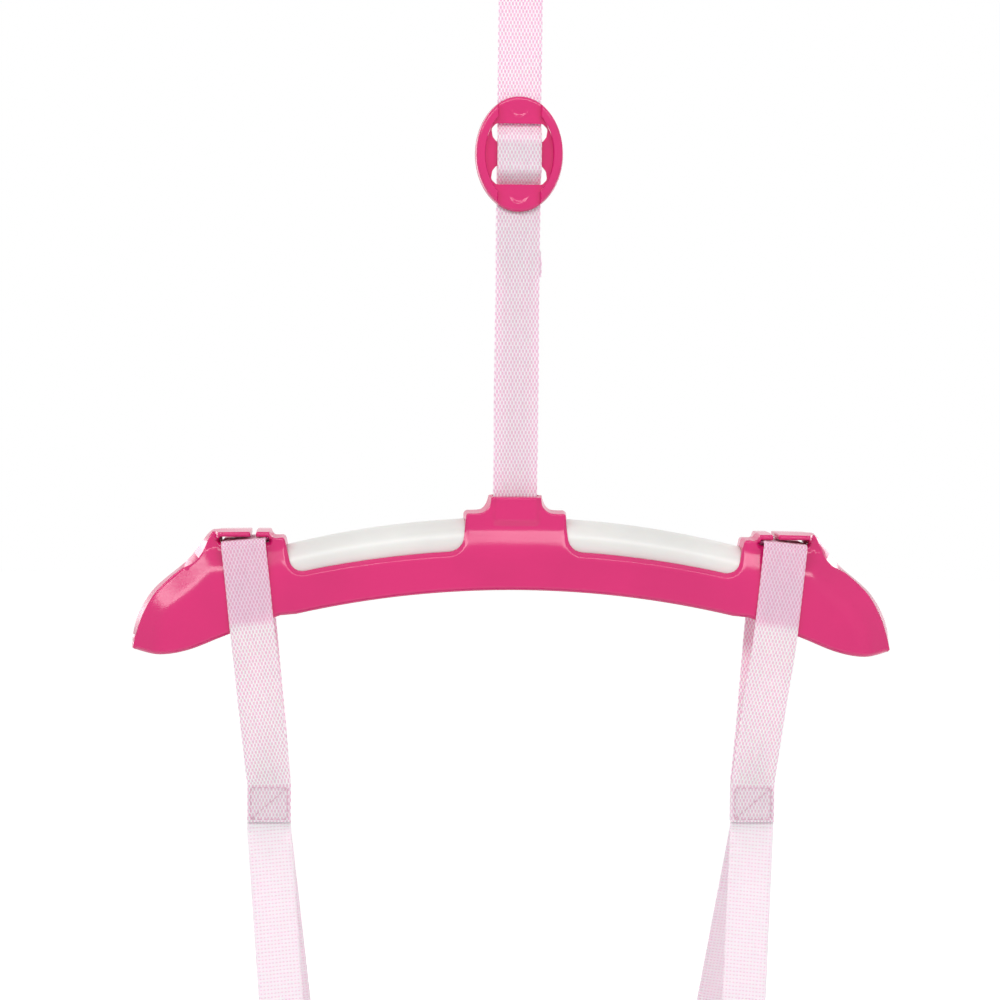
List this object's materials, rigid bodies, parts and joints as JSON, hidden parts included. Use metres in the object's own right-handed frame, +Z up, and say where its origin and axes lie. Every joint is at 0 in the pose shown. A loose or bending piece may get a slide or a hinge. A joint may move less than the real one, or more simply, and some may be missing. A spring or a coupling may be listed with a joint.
{
  "type": "baby doorway jumper",
  "caption": "Baby seat hung from a door-frame clamp by a covered spring, adjustable webbing and an arched spreader bar with webbing hooks.",
  "frame": {"origin": "where the clamp rests: the level of the door casing's top ledge, on the middle plane of the wall and on the plumb line", "axes": "+X along the spreader bar, -Y towards the front, +Z up"},
  "size_m": [0.4356, 0.29, 1.4683],
  "materials": {
    "pink_plastic": "glossy moulded plastic",
    "white_plastic": "satin moulded plastic",
    "pale_webbing": "woven webbing",
    "pink_fabric": "woven cotton",
    "pale_fabric": "quilted cotton",
    "white_fabric": "braided cord",
    "steel": "zinc plated",
    "rubber": "moulded rubber"
  },
  "bodies": {
    "clamp": {"clamp_pivot_pin": "steel", "clamp_torsion_spring": "steel"},
    "front_jaw": {"front_jaw": "pink_plastic", "front_jaw_pad": "rubber"},
    "rear_jaw": {"rear_jaw": "pink_plastic", "rear_jaw_pad": "rubber"},
    "hanger": {"left_hanger_plate": "steel", "right_hanger_plate": "steel", "hanger_rod": "steel"},
    "spring_unit": {"bounce_spring": "steel", "spring_top_cap": "pink_plastic", "spring_sleeve": "pink_fabric", "safety_tether": "white_fabric"},
    "spring_foot": {"spring_bottom_cap": "pink_plastic"},
    "ring_and_strap": {"strap_ring": "steel", "upper_strap": "pale_webbing"},
    "adjuster": {"adjuster_buckle": "pink_plastic", "strap_over_adjuster": "pale_webbing", "strap_end_loop": "pale_webbing"},
    "hub_webbing": {"lower_strap": "pale_webbing"},
    "bar": {"hub_pin": "steel", "bar_front_shell": "pink_plastic", "bar_back_shell": "pink_plastic", "bar_core_tube": "white_plastic", "bar_screw_1": "steel", "bar_screw_2": "steel", "bar_screw_3": "steel", "bar_screw_4": "steel", "bar_screw_5": "steel", "bar_screw_6": "steel"},
    "seat": {"left_hanging_loop": "pale_webbing", "right_hanging_loop": "pale_webbing", "left_seat_strap": "pale_webbing", "right_seat_strap": "pale_webbing", "seat_hoop": "white_plastic", "front_rim_pad": "pink_fabric", "rear_rim_pad": "pink_fabric", "left_rim_pad": "pink_fabric", "right_rim_pad": "pink_fabric", "seat_waist_panel": "pale_fabric", "seat_crotch_sling": "pale_fabric"}
  },
  "joints": [
    {"name": "front_jaw_hinge", "type": "hinge", "parent": "clamp", "child": "front_jaw", "pos_m": [0, 0, -0.135], "axis": [1, 0, 0], "range_deg": [0, 14], "stiffness_Nm_per_rad": 1, "springref_deg": -34.38, "deforming": ["clamp_torsion_spring"]},
    {"name": "rear_jaw_hinge", "type": "hinge", "parent": "clamp", "child": "rear_jaw", "pos_m": [0, 0, -0.135], "axis": [1, 0, 0], "range_deg": [-14, 0]},
    {"name": "hanger_swing", "type": "hinge", "parent": "clamp", "child": "hanger", "pos_m": [0, 0, -0.135], "axis": [1, 0, 0], "range_deg": [-20, 20]},
    {"name": "spring_swing", "type": "hinge", "parent": "hanger", "child": "spring_unit", "pos_m": [0, 0, -0.227], "axis": [1, 0, 0], "range_deg": [-15, 15]},
    {"name": "spring_stretch", "type": "slide", "parent": "spring_unit", "child": "spring_foot", "axis": [0, 0, -1], "range_m": [0, 0.1], "stiffness_N_per_m": 800, "springref_m": -0.03, "deforming": ["bounce_spring", "spring_sleeve", "safety_tether"]},
    {"name": "ring_swing", "type": "hinge", "parent": "spring_foot", "child": "ring_and_strap", "pos_m": [0, 0, -0.3735], "axis": [1, 0, 0], "range_deg": [-15, 15]},
    {"name": "adjuster_slide", "type": "slide", "parent": "ring_and_strap", "child": "adjuster", "axis": [0, 0, 1], "range_m": [-0.16, 0.07], "deforming": ["upper_strap"]},
    {"name": "hub_webbing_slide", "type": "slide", "parent": "adjuster", "child": "hub_webbing", "axis": [0, 0, 1], "range_m": [-0.035, 0.08], "deforming": ["lower_strap"]},
    {"name": "bar_rock", "type": "hinge", "parent": "hub_webbing", "child": "bar", "pos_m": [0, 0, -0.7454], "axis": [1, 0, 0], "range_deg": [-12, 12], "deforming": ["lower_strap"]},
    {"name": "seat_swing", "type": "hinge", "parent": "bar", "child": "seat", "pos_m": [0, 0, -0.7648], "axis": [1, 0, 0], "range_deg": [-12, 12], "deforming": ["left_hanging_loop", "right_hanging_loop"]}
  ],
  "couplings": [
    {"joint": "rear_jaw_hinge", "follows": "front_jaw_hinge", "ratio": -1},
    {"joint": "hub_webbing_slide", "follows": "adjuster_slide", "ratio": -0.5}
  ]
}
